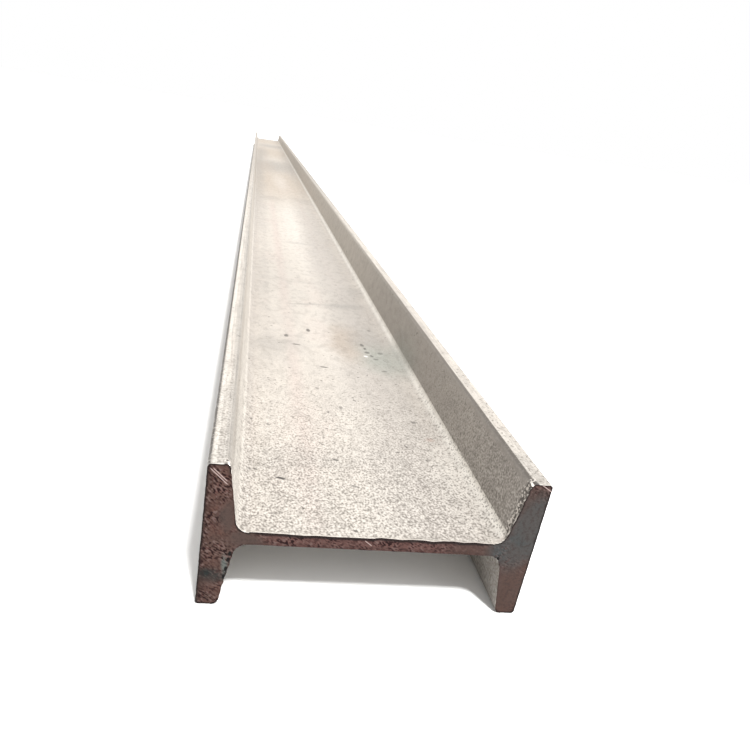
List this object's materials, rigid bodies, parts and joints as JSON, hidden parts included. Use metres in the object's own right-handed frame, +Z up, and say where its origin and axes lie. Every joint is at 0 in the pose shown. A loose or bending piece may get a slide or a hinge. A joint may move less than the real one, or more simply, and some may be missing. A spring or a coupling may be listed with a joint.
{
  "type": "steel i-beam",
  "caption": "Hot-rolled steel I-beam with tapered flanges and rounded roots, sawn square at both ends, lying on its flange edges; carries bending loads in buildings and frames.",
  "frame": {"origin": "on the floor under the middle of the beam: the centre of the bottom of its bounding box", "axes": "+Y along the beam, +X across the section from flange to flange, +Z up, square to the web"},
  "size_m": [0.25, 6, 0.12],
  "materials": {
    "mill_steel": "pale matt hot-rolled mill finish, fine pitted grain, dark brown sawn ends"
  },
  "bodies": {
    "root": {"i_beam": "mill_steel"}
  },
  "joints": []
}
